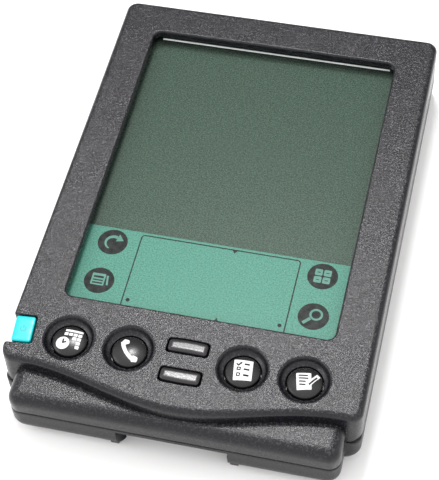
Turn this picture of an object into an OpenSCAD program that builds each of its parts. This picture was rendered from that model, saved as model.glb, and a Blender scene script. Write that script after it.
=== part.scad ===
// Pocket digital assistant lying on its back.
// +Z comes out of the screen, +Y runs to the top edge, +X is the user's right.
// The origin is the bottom centre of the whole object's box.

/* [Case] */
// Overall length, top edge to bottom lip
case_l = 119.4; // [116:0.1:124]
// Overall width at the parting line
case_w = 81.3; // [79:0.1:86]
// Height of the face above the back
face_z = 17.3; // [17:0.1:19]
// Height of the parting line between the two case halves
parting_z = 8.4; // [8:0.1:9]
// Gap between the two case halves
parting_gap = 0.3; // [0.1:0.05:0.5]
// Wall thickness of both case halves
wall = 1.6; // [1.2:0.1:2]
// Radius of the case's upright corners
corner_r = 2.8; // [2:0.1:4]

/* [Lower lip] */
// Width of the stepped-down lip
lip_w = 74.8; // [70:0.1:76]
// Height of the lip's top above the back
lip_z = 13.9; // [12:0.1:14.5]
// Distance from the lip's front to the upright ends beside it
lip_reach = 7.4; // [6:0.1:9]
// Distance from the lip's front to the middle of the curved step
step_mid = 2.7; // [2:0.1:4]
// Distance from the lip's front to the ends of the curved step
step_end = 8.4; // [7:0.1:10]

/* [Screen] */
// Width of the opening in the face
screen_w = 62.2; // [60:0.1:64]
// Length of the opening in the face
screen_l = 82.9; // [80:0.1:84]
// Distance of the opening's middle above the case's middle
screen_y = 8.8; // [8:0.1:9.5]
// Length of the printed writing area at the bottom of the screen
writing_l = 22.65; // [22:0.05:23]
// Depth of the touch panel below the face
panel_depth = 2.5; // [2:0.1:3]

/* [Buttons] */
// Radius of a round button's cap
round_r = 3.95; // [3.5:0.05:4.2]
// Radius of the dished well round a button
well_r = 5.7; // [5:0.1:6]
// Distance from the middle to the inner round buttons
inner_x = 12.9; // [12:0.1:14]
// Distance from the middle to the outer round buttons
outer_x = 26.7; // [26:0.1:27.5]
// Distance of the round buttons below the case's middle
round_y = 43.7; // [43:0.1:44.5]
// Width of a scroll button
scroll_w = 8.9; // [8:0.1:9.5]
// Height of a scroll button on the face
scroll_h = 3.1; // [2.8:0.1:3.4]
// Travel of the round buttons
round_travel = 1.0; // [0.6:0.1:1]
// Travel of the scroll, power and reset buttons
small_travel = 0.6; // [0.4:0.1:0.6]

/* [Stylus] */
// Radius of the stylus
stylus_r = 2.3; // [2:0.05:2.4]
// Length of the stylus
stylus_l = 100; // [95:1:102]
// Distance of the stylus axis from the case's middle
stylus_x = 36.3; // [36:0.1:36.5]
// Height of the stylus axis above the back
stylus_z = 4.3; // [4:0.1:4.5]

/* [Batteries] */
// Radius of an AAA battery
aaa_r = 5.25; // [5.2:0.05:5.25]
// Length of an AAA battery
aaa_l = 44.5; // [44:0.1:44.5]
// Distance between the two battery axes
aaa_pitch = 11.2; // [10.8:0.1:11.4]
// Distance of the battery pair below the case's middle
aaa_y = 24.6; // [24.6:0.1:24.7]

/* [Hidden] */
$fn = 48;
eps = 0.05;              // overshoot of a cutting shape
fit = 0.3;               // gap between pieces that move past each other
top_y = case_l / 2;
end_y = -case_l / 2;
side_x = case_w / 2;
gap_low = parting_z - parting_gap / 2;
gap_high = parting_z + parting_gap / 2;

// Body outline: the upright ends beside the lip, and the curved step between them
body_end_y = end_y + lip_reach;
step_half = lip_w / 2 - 0.6;
step_steps = 40;
function step_y(x) = end_y + (step_mid + step_end) / 2
    - (step_end - step_mid) / 2 * cos(180 * x / step_half);
edge_break = 1.4;        // chamfer round the face
lip_round = 2.6;         // chamfer on the lip's front and sides
back_flare = 3.4;        // how far the back tapers in at the sides
top_flare = 1.8;         // how far it tapers in at the top end
lip_taper = 3.2;         // how far it tapers in under the lip
back_straight = 4.2;     // height at which the back starts to taper
flare_z = [1.4, 1.5];    // height where the taper steepens
flare_share = 0.35;      // share of the taper above that height

// Layers of the screen, from the face down
panel_t = 1.1;
panel_top = face_z - panel_depth;
panel_low = panel_top - panel_t;
panel_margin = 2.4;
face_t = 1.9;
roof_z = face_z - face_t;
writing_t = 1.0;
lcd_top = panel_low - 0.7;
lcd_t = 2.1;
frame_t = 0.8;
board_t = 1.6;
board_top = lcd_top - lcd_t - frame_t - 0.7;
board_low = board_top - board_t;
lcd_low_y = screen_y - screen_l / 2 + writing_l;
lcd_high_y = screen_y + screen_l / 2 + panel_margin - 0.6;

// Button deck
deck_low = 13.5;
deck_high_y = -35.4;
well_floor = face_z - 1.6;
round_rim = 15.8;
round_dome = 0.7;
round_hole_r = round_r + fit;
flange_r = 5.2;
flange_t = 0.8;
mat_top = deck_low - fit - flange_t - round_travel - 0.1;
mat_t = 0.8;
key_board_t = 1.0;
key_board_top = mat_top - mat_t;
round_xs = [-outer_x, -inner_x, inner_x, outer_x];
scroll_mid_y = -44.6;
scroll_pitch = 7.4;
scroll_top = face_z + 0.5;
power_size = [4.5, 6.6];
power_at = [-37.35, -43.4];
power_turn = 5;          // the power button sits askew to the side
power_low = 12.4;
power_stand = 0.1;

// Contrast dial
dial_r = 6.5;
dial_t = 2.2;
dial_x = -side_x + dial_r;
scoop_depth = 0.9;       // thumb scoop in the side at the dial
dial_y = 32;
dial_shaft_r = 1.2;

// Back
door_t = 1.2;
door_gap = 0.2;
battery_door_w = 55;
battery_door_low = -aaa_y - 13.2;
battery_door_l = 26.4;
battery_room_w = 52.4;
battery_room_l = 2 * aaa_r + aaa_pitch + 1.4;
battery_z = door_t + 0.15 + aaa_r;
battery_roof = battery_z + aaa_r + 0.1;
memory_door_w = 48;
memory_door_low = 10;
memory_door_l = 42;
reset_x = -30;
reset_y = 2;
port_w = 25.4;           // clear width between the two docking ribs
port_back_y = end_y + 5.0;
rib_t = 2.0;
port_door_w = 20.8;
port_door_low = 1.9;
port_door_h = 4.9;
port_ledge_z = [2.4, 3];
port_travel = 3.4;
port_hole_top = port_ledge_z[1] + port_travel + 0.1;
screw_spots = [[-33.2, -48.2], [33.2, -48.2], [-33.2, 55.4], [29.2, 55.4]];
boss_r = 2.3;
board_screw_x = 26;
board_screw_ys = [-4.5, 46];
screw_r = 1.0;
screw_head_r = 1.9;
silo_end_y = top_y - 0.2 - stylus_l;

case_colour = [0.22, 0.22, 0.24];
button_colour = [0.17, 0.17, 0.19];
board_colour = [0.08, 0.3, 0.18];
metal_colour = [0.72, 0.72, 0.7];

// Rounded rectangle from its low corner
module round_rect(x0, y0, x1, y1, r) {
    translate([x0 + r, y0]) square([x1 - x0 - 2 * r, y1 - y0]);
    translate([x0, y0 + r]) square([x1 - x0, y1 - y0 - 2 * r]);
    for (x = [x0 + r, x1 - r]) {
        for (y = [y0 + r, y1 - r]) {
            translate([x, y]) circle(r);
        }
    }
}

module slab(x0, y0, x1, y1, r, z0, z1) {
    translate([0, 0, z0]) linear_extrude(z1 - z0) round_rect(x0, y0, x1, y1, r);
}

// Box from one corner to the other
module block(low, high) {
    translate(low) cube(high - low);
}

module rod(x, y, z0, z1, r) {
    translate([x, y, z0]) cylinder(h = z1 - z0, r = r);
}

// Plan of the curved step, from inside the body down to the curve
module step_plan(inset) {
    xs = [for (i = [0 : step_steps]) -step_half + 2 * step_half * i / step_steps];
    polygon(concat(
        [[step_half, body_end_y + 6], [-step_half, body_end_y + 6]],
        [for (x = xs) [x, step_y(x) + inset]]));
}

module body_plan(inset) {
    round_rect(-side_x + inset, body_end_y + inset, side_x - inset, top_y - inset, corner_r);
    step_plan(inset);
}

// Outer block that gives the face its broken edge
module face_break() {
    low = parting_z - 1;
    soft = 0.3 * edge_break;
    hull() {
        slab(-side_x, end_y, side_x, top_y, corner_r, low, face_z - edge_break);
        slab(-side_x + soft, end_y, side_x - soft, top_y - soft, corner_r, low, face_z - soft);
        slab(-side_x + edge_break, end_y, side_x - edge_break, top_y - edge_break, corner_r,
            face_z - eps, face_z);
    }
}

module lip_solid(low) {
    half = lip_w / 2;
    back = body_end_y + 8;
    hull() {
        slab(-half, end_y, half, back, corner_r, low, lip_z - lip_round);
        slab(-half + 0.7, end_y + 0.7, half - 0.7, back, corner_r, low, lip_z - 0.8);
        slab(-half + lip_round, end_y + lip_round, half - lip_round, back, corner_r,
            low, lip_z);
    }
}

// Dished well and through hole for one round button
module well_cut(x) {
    translate([x, -round_y, 0]) rotate_extrude() polygon([
        [0, deck_low - 1], [round_hole_r, deck_low - 1], [round_hole_r, well_floor],
        [well_r - 0.9, well_floor + 0.3], [well_r, face_z + eps], [0, face_z + eps]]);
}

module scroll_plan(grow) {
    w = scroll_w / 2 + grow;
    h = scroll_h / 2 + grow;
    round_rect(-w, -h, w, h, 0.8);
}

// Room for the contrast dial, and the thumb scoop in the side wall
module dial_slot() {
    reach = dial_r + fit;
    slot_low = parting_z - dial_t / 2 - fit;
    slot_high = parting_z + dial_t / 2 + fit;
    block([-side_x - 1, dial_y - 5.4, slot_low], [dial_x - 2, dial_y + 5.4, slot_high]);
    rod(dial_x, dial_y, slot_low, slot_high, reach);
    block([-side_x - 1, dial_y - 6.5, parting_z - 2.6], [-side_x + scoop_depth, dial_y + 6.5, parting_z + 2.6]);
}

// Notch for the power button, open to the side of the case
module power_notch() {
    half = power_size / 2 + [fit, fit];
    translate([power_at[0], power_at[1], 0]) rotate(power_turn)
        block([-half[0] - 5, -half[1], power_low - small_travel - fit], [half[0], half[1], face_z + 1]);
}

module front_case() {
    inner_x0 = side_x - wall;
    color(case_colour) difference() {
        union() {
            intersection() {
                translate([0, 0, gap_high]) linear_extrude(face_z - gap_high) body_plan(0);
                face_break();
            }
            lip_solid(gap_high);
        }
        // room for the screen and boards
        slab(-inner_x0, deck_high_y, inner_x0, top_y - wall, 1.2, gap_high - eps, roof_z);
        // room below the button deck
        slab(-inner_x0, body_end_y + wall, inner_x0, deck_high_y + 2, 1.2, gap_high - eps, deck_low);
        // room inside the lip
        slab(-lip_w / 2 + wall + 1, end_y + wall + 0.6, lip_w / 2 - wall - 1, body_end_y + 4, 1.2,
            gap_high - eps, lip_z - wall);
        slab(-screen_w / 2, screen_y - screen_l / 2, screen_w / 2, screen_y + screen_l / 2, 2,
            roof_z - 1, face_z + 1);
        for (x = round_xs) well_cut(x);
        for (s = [-1, 1]) {
            translate([0, scroll_mid_y + s * scroll_pitch / 2, deck_low - 1])
                linear_extrude(face_z) scroll_plan(fit);
        }
        power_notch();
        dial_slot();
    }
    color(case_colour) screw_bosses();
}

// Bosses that hang from the face and take the case screws
module screw_bosses() {
    for (p = screw_spots) {
        top = p[1] < 0 ? deck_low : roof_z;
        difference() {
            rod(p[0], p[1], gap_high, top + 0.2, boss_r);
            rod(p[0], p[1], gap_high - eps, gap_high + 5, screw_r);
        }
    }
}

module back_outer() {
    half = lip_w / 2;
    hull() {
        slab(-side_x, body_end_y, side_x, top_y, corner_r, back_straight, gap_low);
        slab(-side_x + flare_share * back_flare, body_end_y + 0.3, side_x - flare_share * back_flare,
            top_y - flare_share * top_flare, corner_r, flare_z[0], flare_z[1]);
        slab(-side_x + back_flare, body_end_y + 0.8, side_x - back_flare, top_y - top_flare,
            corner_r, 0, eps);
    }
    hull() {
        slab(-half, end_y, half, body_end_y + 8, corner_r, back_straight, gap_low);
        slab(-half + flare_share * back_flare, end_y + flare_share * lip_taper,
            half - flare_share * back_flare, body_end_y + 8, corner_r, flare_z[0], flare_z[1]);
        slab(-half + back_flare, end_y + lip_taper, half - back_flare, body_end_y + 8, corner_r,
            0, eps);
    }
}

// The space the docking connector enters, between the two ribs
module port_recess() {
    half = port_w / 2;
    block([-half, end_y - 1, -1], [half, port_back_y, gap_low - 0.9]);
    block([-10, port_back_y - eps, 2.2], [10, port_back_y + wall + eps, port_hole_top]);
}

module dock_ribs() {
    half = port_w / 2;
    for (s = [-1, 1]) {
        x = s > 0 ? half : -half - rib_t;
        hull() {
            block([x, end_y + 0.1, gap_low - 1], [x + rib_t, port_back_y, gap_low]);
            block([x, end_y + 1.2, 0], [x + rib_t, port_back_y + 2, 1]);
        }
    }
}

module battery_room(grow, top) {
    half = battery_room_w / 2 + grow;
    reach = battery_room_l / 2 + grow;
    block([-half, -aaa_y - reach, -1], [half, -aaa_y + reach, top]);
}

module back_case() {
    inner_x0 = side_x - wall - 0.6;
    half = battery_room_w / 2;
    color(case_colour) difference() {
        union() {
            difference() {
                union() {
                    back_outer();
                    dock_ribs();
                }
                port_recess();
                // inner room, bordered by the floor and the walls
                block([-inner_x0, body_end_y + wall + 1, back_straight], [inner_x0, top_y - wall, 20]);
                block([-inner_x0 + back_flare, port_back_y + wall, wall + 0.2],
                    [inner_x0 - back_flare - 3.4, top_y - back_flare - 1.6, back_straight + eps]);
                block([-lip_w / 2 + 3, port_back_y + wall, back_straight], [lip_w / 2 - 3, 0, 20]);
            }
            // battery box, stylus tube, screw posts and dial post
            battery_room(0.9, battery_roof + 0.6);
            translate([stylus_x, silo_end_y - 1.2, stylus_z]) rotate([-90, 0, 0])
                cylinder(h = top_y - silo_end_y - 1.6, r = stylus_r + 1.1);
            for (p = screw_spots) rod(p[0], p[1], 1, gap_low, 2.6);
            rod(dial_x, dial_y, 1, 4.6, 3);
            rod(reset_x, reset_y, 1, 2.4, 2.4);
        }
        battery_room(0, battery_roof);
        slab(-battery_door_w / 2 - door_gap, battery_door_low - door_gap, battery_door_w / 2 + door_gap,
            battery_door_low + battery_door_l + door_gap, 1.2, -1, door_t + 0.1);
        slab(-memory_door_w / 2 - door_gap, memory_door_low - door_gap, memory_door_w / 2 + door_gap,
            memory_door_low + memory_door_l + door_gap, 1.2, -1, door_t + 0.1);
        slab(-memory_door_w / 2 + 1.4, memory_door_low + 1.4, memory_door_w / 2 - 1.4,
            memory_door_low + memory_door_l - 1.4, 1, -1, 4);
        translate([stylus_x, silo_end_y, stylus_z]) rotate([-90, 0, 0])
            cylinder(h = stylus_l + 5, r = stylus_r + 0.08);
        // thumb notch that bares the stylus end
        block([stylus_x - 3, top_y - 5.5, -1], [stylus_x + 2.4, top_y + 1, stylus_z - 1.4]);
        for (p = screw_spots) {
            rod(p[0], p[1], -1, 3, screw_head_r + 0.2);
            rod(p[0], p[1], -1, 20, screw_r + 0.15);
        }
        rod(reset_x, reset_y, -1, 5, 1.1);
        dial_slot();
        // nail notches that lift the doors
        rod(0, battery_door_low + battery_door_l + 2.2, -1, 0.7, 3);
        rod(0, memory_door_low - 2.2, -1, 0.7, 3);
    }
}

module panel_slab(margin, z0, z1) {
    slab(-screen_w / 2 - margin, screen_y - screen_l / 2 - margin, screen_w / 2 + margin,
        screen_y + screen_l / 2 + margin, 1, z0, z1);
}

module screen_gasket() {
    color([0.05, 0.05, 0.05]) difference() {
        panel_slab(panel_margin - 0.3, panel_top, roof_z);
        panel_slab(0.5, panel_top - 1, roof_z + 1);
    }
}

module touch_panel() {
    color([0.5, 0.6, 0.55]) panel_slab(panel_margin, panel_low, panel_top);
}

module writing_panel() {
    color([0.25, 0.6, 0.5]) slab(-screen_w / 2 - 1.6, screen_y - screen_l / 2 - 1.6,
        screen_w / 2 + 1.6, lcd_low_y - 0.1, 0.6, panel_low - writing_t, panel_low);
}

module lcd_panel() {
    color([0.38, 0.46, 0.4]) slab(-screen_w / 2 - 1, lcd_low_y + 0.1, screen_w / 2 + 1,
        lcd_high_y, 0.4, lcd_top - lcd_t, lcd_top);
}

// Pressed steel tray that holds the display
module lcd_frame() {
    half = screen_w / 2 + 1.9;
    color(metal_colour) difference() {
        block([-half, lcd_low_y, lcd_top - lcd_t - frame_t], [half, lcd_high_y + 0.8, lcd_top + 0.5]);
        block([-half + 0.8, lcd_low_y - 1, lcd_top - lcd_t], [half - 0.8, lcd_high_y + 0.1, 20]);
        block([-8, lcd_low_y - 1, lcd_top - lcd_t - 2], [8, lcd_low_y + 5, lcd_top - lcd_t + eps]);
    }
}

// Flat cable from the display to the main board
module lcd_flex() {
    z0 = board_top;
    color([0.75, 0.45, 0.15]) block([-7, lcd_low_y + 2, z0], [7, lcd_low_y + 4, lcd_top - lcd_t]);
}

module main_board() {
    half = screen_w / 2 + 0.9;
    color(board_colour) difference() {
        block([-half, lcd_low_y + 0.4, board_low], [half, lcd_high_y - 1.6, board_top]);
        rod(dial_x, dial_y, board_low - 1, board_top + 1, dial_r + 1);
        block([-half - 1, dial_y - 5, board_low - 1], [dial_x, dial_y + 5, board_top + 1]);
        for (p = screw_spots) rod(p[0], p[1], board_low - 1, board_top + 1, boss_r + fit);
        for (x = [-board_screw_x, board_screw_x]) {
            for (y = board_screw_ys) rod(x, y, board_low - 1, board_top + 1, 1);
        }
    }
}

module processor() {
    color([0.08, 0.08, 0.08]) block([-19, 1, board_low - 1.6], [-5, 9, board_low]);
}

module clock_crystal() {
    color(metal_colour) translate([2, 5, board_low - 1.2]) rotate([0, 90, 0]) cylinder(h = 8, r = 1.2);
}

module backup_capacitor() {
    color([0.15, 0.2, 0.45]) rod(18, 3, board_low - 3, board_low, 4.2);
}

module speaker() {
    color([0.7, 0.6, 0.3]) difference() {
        rod(-28, 14, board_low - 2.4, board_low, 4);
        rod(-28, 14, board_low - 2.4 - eps, board_low - 1.6, 0.8);
    }
}

module card_socket() {
    color([0.85, 0.82, 0.72]) difference() {
        block([-21, 44, board_low - 4], [21, 49, board_low]);
        block([-20, 43, board_low - 3.4], [20, 46, board_low - 2]);
    }
}

module memory_card() {
    z0 = board_low - 3.3;
    color(board_colour) block([-19.6, 14, z0], [19.6, 45.8, z0 + 1.2]);
    color([0.08, 0.08, 0.08]) {
        for (x = [-11, 3]) block([x, 24, z0 - 1.1], [x + 8, 34, z0]);
    }
}

module contrast_dial() {
    z0 = parting_z - dial_t / 2;
    color(button_colour) difference() {
        rod(dial_x, dial_y, z0, z0 + dial_t, dial_r);
        rod(dial_x, dial_y, z0 - eps, z0 + dial_t + eps, dial_shaft_r + 0.04);
    }
}

module contrast_pot() {
    color([0.3, 0.3, 0.32]) {
        rod(dial_x, dial_y, 4.6, parting_z - dial_t / 2 - 0.25, 4.2);
        rod(dial_x, dial_y, 5, parting_z + dial_t / 2, dial_shaft_r);
    }
}

module power_button() {
    half = power_size / 2;
    color([0.2, 0.85, 0.85]) translate([power_at[0], power_at[1], 0]) rotate(power_turn) {
        slab(-half[0], -half[1], half[0], half[1], 0.6, power_low, face_z + power_stand);
        block([half[0] - 1, -2, power_low], [half[0] + 1.6, 2, 13.2]);
    }
}

// Round cap with a domed top, and the flange that keeps it in the case
module round_button(x) {
    low = deck_low - fit - flange_t;
    dome_r = (round_r * round_r + round_dome * round_dome) / (2 * round_dome);
    color(button_colour) translate([x, -round_y, 0]) {
        rod(0, 0, low, low + flange_t, flange_r);
        rod(0, 0, low, round_rim, round_r);
        intersection() {
            rod(0, 0, low, round_rim + round_dome, round_r);
            translate([0, 0, round_rim + round_dome - dome_r]) sphere(dome_r);
        }
    }
}

module calendar_button() round_button(round_xs[0]);
module phone_button() round_button(round_xs[1]);
module list_button() round_button(round_xs[2]);
module note_button() round_button(round_xs[3]);

module scroll_button(s) {
    low = deck_low - fit - flange_t;
    color(button_colour) translate([0, scroll_mid_y + s * scroll_pitch / 2, 0]) {
        translate([0, 0, low]) linear_extrude(scroll_top - low) scroll_plan(0);
        block([-scroll_w / 2 - 0.8, -scroll_h / 2 - 0.8, low],
            [scroll_w / 2 + 0.8, scroll_h / 2 + 0.8, low + flange_t]);
    }
}

module scroll_up_button() scroll_button(1);
module scroll_down_button() scroll_button(-1);

// Rubber sheet with a dome under each button
module key_mat() {
    color([0.6, 0.6, 0.58]) {
        difference() {
            block([-33.5, -50.4, key_board_top], [33.5, -37.4, mat_top - 0.3]);
            for (p = screw_spots) rod(p[0], p[1], key_board_top - 1, mat_top, boss_r + fit);
        }
        for (x = round_xs) rod(x, -round_y, key_board_top, mat_top, 2.6);
        for (s = [-1, 1]) rod(0, scroll_mid_y + s * scroll_pitch / 2, key_board_top, mat_top, 1.7);
    }
}

module button_board() {
    low = key_board_top - key_board_t;
    color(board_colour) difference() {
        block([-36.5, -50.4, low], [36.5, -37.3, key_board_top]);
        for (p = screw_spots) rod(p[0], p[1], low - 1, key_board_top + 1, boss_r + fit);
    }
}

// Flat cable beside the battery box, joining the two boards
module button_flex() {
    color([0.75, 0.45, 0.15])
        block([28.4, -38.5, board_top], [31.2, lcd_low_y + 3, key_board_top - key_board_t]);
}

module reset_button() {
    color([0.8, 0.8, 0.8]) rod(reset_x, reset_y, 2.8, board_low - small_travel - 0.2, 0.9);
    color([0.8, 0.8, 0.8]) rod(reset_x, reset_y, 3.6, 4.6, 1.6);
}

module serial_connector() {
    low = port_door_low + 0.5;
    color([0.1, 0.1, 0.1]) block([-9.6, port_back_y + wall + 2.1, low], [9.6, -46, key_board_top - key_board_t]);
    color([0.85, 0.7, 0.3]) {
        for (i = [0 : 9]) {
            x = (i - 4.5) * 1.9;
            block([x - 0.4, port_back_y + wall + 1.9, 3.4], [x + 0.4, port_back_y + wall + 2.6, 5.6]);
        }
    }
}

module port_door() {
    y0 = port_back_y + wall + 0.3;
    color(case_colour) {
        block([-port_door_w / 2, y0, port_door_low], [port_door_w / 2, y0 + 1.1, port_door_low + port_door_h]);
        block([-6, y0 - 0.9, port_ledge_z[0]], [6, y0 + eps, port_ledge_z[1]]);
    }
}

// Light coil spring that holds the port door shut
module port_spring() {
    y0 = port_back_y + wall + 0.85;
    color(metal_colour) rod(14.2, y0, port_door_low + 0.2, 7.6, 0.8);
}

module along_y(x, y0, y1, z, r0, r1) {
    translate([x, y0, z]) rotate([-90, 0, 0]) cylinder(h = y1 - y0, r1 = r0, r2 = r1);
}

module stylus_barrel() {
    low = silo_end_y + 9;
    high = top_y - 0.3;
    color(button_colour) {
        along_y(stylus_x, low, high - 2, stylus_z, stylus_r, stylus_r);
        along_y(stylus_x, high - 2, high, stylus_z, stylus_r, stylus_r - 0.6);
    }
}

module stylus_tip() {
    low = silo_end_y + 0.3;
    color([0.1, 0.1, 0.1]) {
        along_y(stylus_x, low, low + 1.5, stylus_z, 0.4, 0.7);
        along_y(stylus_x, low + 1.5, silo_end_y + 9, stylus_z, 0.7, stylus_r);
    }
}

// One AAA cell along X; side is the end that its button points to
module battery(y, side) {
    half = aaa_l / 2;
    color([0.2, 0.2, 0.22]) translate([0, y, battery_z]) rotate([0, side * 90, 0])
        translate([0, 0, -half]) {
            cylinder(h = aaa_l - 0.9, r = aaa_r);
            cylinder(h = aaa_l, r = 1.9);
        }
}

module battery_upper() battery(-aaa_y + aaa_pitch / 2, 1);
module battery_lower() battery(-aaa_y - aaa_pitch / 2, -1);

// Contact springs at the minus ends
module battery_springs() {
    for (s = [-1, 1]) {
        y = -aaa_y - s * aaa_pitch / 2;
        color(metal_colour) translate([s * battery_room_w / 2, y, battery_z]) rotate([0, -s * 90, 0]) {
            cylinder(h = 0.5, r = 4.4);
            translate([0, 0, 0.5]) cylinder(h = (battery_room_w - aaa_l) / 2 - 0.55, r1 = 3.6, r2 = 2);
        }
    }
}

module battery_plates() {
    for (s = [-1, 1]) {
        y = -aaa_y + s * aaa_pitch / 2;
        color(metal_colour) translate([s * battery_room_w / 2, y, battery_z]) rotate([0, -s * 90, 0]) {
            cylinder(h = 0.5, r = 4.4);
            translate([0, 0, 0.5]) cylinder(h = (battery_room_w - aaa_l) / 2 - 0.55, r = 1.6);
        }
    }
}

module door(w, low, l) {
    slab(-w / 2, low, w / 2, low + l, 1, 0, door_t);
}

module battery_door() {
    color(case_colour) difference() {
        door(battery_door_w, battery_door_low, battery_door_l);
        for (i = [0 : 3]) {
            y = battery_door_low + battery_door_l - 3 - i * 1.6;
            block([-6, y, -1], [6, y + 0.7, 0.3]);
        }
    }
}

module memory_door() {
    color(case_colour) difference() {
        door(memory_door_w, memory_door_low, memory_door_l);
        for (i = [0 : 3]) {
            y = memory_door_low + 2.3 + i * 1.6;
            block([-6, y, -1], [6, y + 0.7, 0.3]);
        }
    }
}

module case_screws() {
    color(metal_colour) {
        for (p = screw_spots) {
            rod(p[0], p[1], 1.2, 3, screw_head_r);
            rod(p[0], p[1], 3, gap_high + 4.6, screw_r);
        }
    }
}

module board_screws() {
    color(metal_colour) {
        for (x = [-board_screw_x, board_screw_x]) {
            for (y = board_screw_ys) {
                rod(x, y, board_low - 1, board_low, 1.8);
                rod(x, y, board_low - 1, board_top + 0.7, 0.9);
            }
        }
    }
}

front_case();
back_case();
screen_gasket();
touch_panel();
writing_panel();
lcd_panel();
lcd_frame();
lcd_flex();
main_board();
processor();
clock_crystal();
backup_capacitor();
speaker();
card_socket();
memory_card();
contrast_dial();
contrast_pot();
power_button();
calendar_button();
phone_button();
list_button();
note_button();
scroll_up_button();
scroll_down_button();
key_mat();
button_board();
button_flex();
reset_button();
serial_connector();
port_door();
port_spring();
stylus_barrel();
stylus_tip();
battery_upper();
battery_lower();
battery_springs();
battery_plates();
battery_door();
memory_door();
case_screws();
board_screws();
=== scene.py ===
"""Pocket digital assistant on a pale floor. All plan numbers below are millimetres in the CAD frame."""
import bpy
import bmesh
import math
from mathutils import Matrix, Vector
from mathutils.geometry import delaunay_2d_cdt


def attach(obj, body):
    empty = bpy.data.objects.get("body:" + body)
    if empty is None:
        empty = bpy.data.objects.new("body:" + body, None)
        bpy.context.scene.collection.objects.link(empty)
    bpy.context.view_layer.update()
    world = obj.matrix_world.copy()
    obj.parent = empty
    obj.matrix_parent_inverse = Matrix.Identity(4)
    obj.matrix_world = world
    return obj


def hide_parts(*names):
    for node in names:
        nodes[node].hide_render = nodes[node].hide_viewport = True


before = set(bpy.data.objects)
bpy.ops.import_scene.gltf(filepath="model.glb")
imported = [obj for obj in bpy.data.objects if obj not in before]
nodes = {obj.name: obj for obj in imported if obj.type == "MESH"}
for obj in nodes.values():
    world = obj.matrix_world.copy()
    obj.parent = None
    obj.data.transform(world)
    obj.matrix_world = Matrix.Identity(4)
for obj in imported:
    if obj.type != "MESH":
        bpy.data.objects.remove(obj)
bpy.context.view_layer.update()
MM = 0.001

# ---------------------------------------------------------------- sizes
SIDE, TOP, END = 40.65, 59.7, -59.7
FACE, GAP_HIGH, GAP_LOW = 17.3, 8.55, 8.25
BODY_END, STEP_HALF = -51.3, 36.8
LIP_HALF, LIP_TOP = 37.4, 13.9
SCREEN = (-31.1, -32.65, 31.1, 50.25)
ROUND_X, ROUND_Y = (-26.7, -12.9, 12.9, 26.7), -43.7
SCROLL_Y = (-40.9, -48.3)
POWER_AT, POWER_TURN = (-37.35, -43.4), math.radians(5)
SCREWS = ((-33.2, -48.2), (33.2, -48.2), (-33.2, 55.4), (29.2, 55.4))
STYLUS_X, STYLUS_Z = 36.3, 4.3
DIAL = (-34.15, 32.0)
POCKET_TOP = 11.0                   # how far up the port door's room reaches
FLANGE_LOW, FLANGE_TOP = 12.4, 13.2    # the flange that keeps a button in the case
CAP_R, CAP_TOP = 3.95, 16.5         # round button and the top of its dome
SHEET_TOP, PRINT_TOP = 13.69, 13.703


# ---------------------------------------------------------------- plan tools
def unit(x, y):
    n = math.hypot(x, y) or 1.0
    return x / n, y / n


def rounded(corners, step=11.0):
    """Closed loop through (x, y, radius) corners."""
    out = []
    for i, (x, y, r) in enumerate(corners):
        if r <= 0:
            out.append((x, y))
            continue
        px, py, _ = corners[i - 1]
        qx, qy, _ = corners[(i + 1) % len(corners)]
        ax, ay = unit(px - x, py - y)
        bx, by = unit(qx - x, qy - y)
        half = math.acos(max(-1, min(1, ax * bx + ay * by))) / 2
        reach = r / math.tan(half)
        mx, my = unit(ax + bx, ay + by)
        cx, cy = x + mx * r / math.sin(half), y + my * r / math.sin(half)
        a0 = math.atan2(y + ay * reach - cy, x + ax * reach - cx)
        a1 = math.atan2(y + by * reach - cy, x + bx * reach - cx)
        turn = (a1 - a0 + math.pi) % (2 * math.pi) - math.pi
        k = max(2, round(abs(turn) / math.radians(step)))
        out += [(cx + r * math.cos(a0 + turn * j / k),
                 cy + r * math.sin(a0 + turn * j / k)) for j in range(k + 1)]
    return out


def rect(x0, y0, x1, y1, r=0.0):
    return rounded([(x0, y0, r), (x1, y0, r), (x1, y1, r), (x0, y1, r)])


def circle(cx, cy, r, n=64):
    return [(cx + r * math.cos(2 * math.pi * i / n),
             cy + r * math.sin(2 * math.pi * i / n)) for i in range(n)]


def turned(loop, at, angle):
    c, s = math.cos(angle), math.sin(angle)
    return [(at[0] + x * c - y * s, at[1] + x * s + y * c) for x, y in loop]


def grown(loop, d):
    """The loop moved outwards by d, one number or one for each point."""
    out = []
    for i, (x, y) in enumerate(loop):
        x0, y0 = loop[i - 1]
        x1, y1 = loop[(i + 1) % len(loop)]
        a, b = unit(y - y0, x0 - x), unit(y1 - y, x - x1)
        k = (d[i] if isinstance(d, (list, tuple)) else d) / max(0.3, 1 + a[0] * b[0] + a[1] * b[1])
        out.append((x + (a[0] + b[0]) * k, y + (a[1] + b[1]) * k))
    return out


def within(x, y, loop):
    hit = False
    x0, y0 = loop[-1]
    for x1, y1 in loop:
        if (y0 > y) != (y1 > y) and x < (x1 - x0) * (y - y0) / (y1 - y0) + x0:
            hit = not hit
        x0, y0 = x1, y1
    return hit


def plan_mesh(loops, extra=()):
    """Triangles over every loop at once, with the loops' edges kept."""
    pts, edges = [], []
    for loop in loops:
        n = len(pts)
        pts += [Vector(p) for p in loop]
        edges += [(n + i, n + (i + 1) % len(loop)) for i in range(len(loop))]
    pts += [Vector(p) for p in extra]
    v, _, f, *_ = delaunay_2d_cdt(pts, edges, [], 0, 1e-6)
    return [(p.x, p.y) for p in v], [tuple(t) for t in f]


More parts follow.
